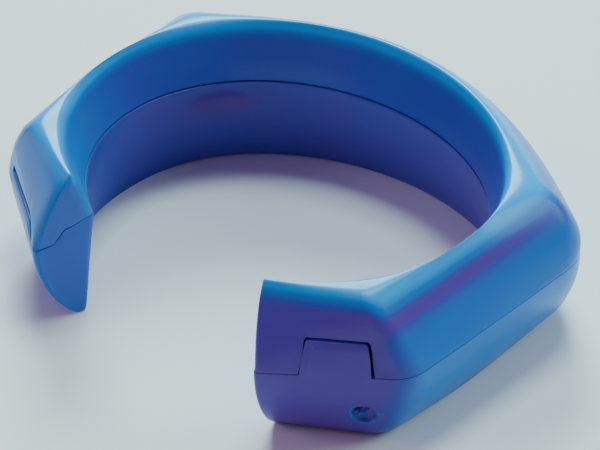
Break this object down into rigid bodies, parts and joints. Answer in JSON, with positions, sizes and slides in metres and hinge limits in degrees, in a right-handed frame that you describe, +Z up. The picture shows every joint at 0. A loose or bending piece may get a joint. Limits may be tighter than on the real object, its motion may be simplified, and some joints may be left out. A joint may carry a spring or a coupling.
{
  "type": "cheek retractor",
  "caption": "C-shaped lip and cheek retractor ring in glossy moulded plastic, its two half-rings meeting at a stepped seam, with arms that squeeze together and spring back.",
  "frame": {"origin": "on the surface that the ring lies on, under the middle of the ring's box", "axes": "+Z up, +X towards the right-hand arm seen from the open side, -Y towards the open side of the C"},
  "size_m": [0.0624, 0.0502, 0.019],
  "materials": {
    "upper_plastic": "glossy saturated blue, fine moulded grain",
    "lower_plastic": "glossy saturated blue, fine moulded grain"
  },
  "bodies": {
    "left_arm": {"left_arm_lower": "lower_plastic", "left_arm_upper": "upper_plastic"},
    "right_arm": {"right_arm_lower": "lower_plastic", "right_arm_upper": "upper_plastic"}
  },
  "joints": [
    {"name": "squeeze", "type": "hinge", "parent": "left_arm", "child": "right_arm", "pos_m": [0, 0.02115, 0], "axis": [0, 0, -1], "range_deg": [-5, 12], "stiffness_Nm_per_rad": 0.5}
  ]
}
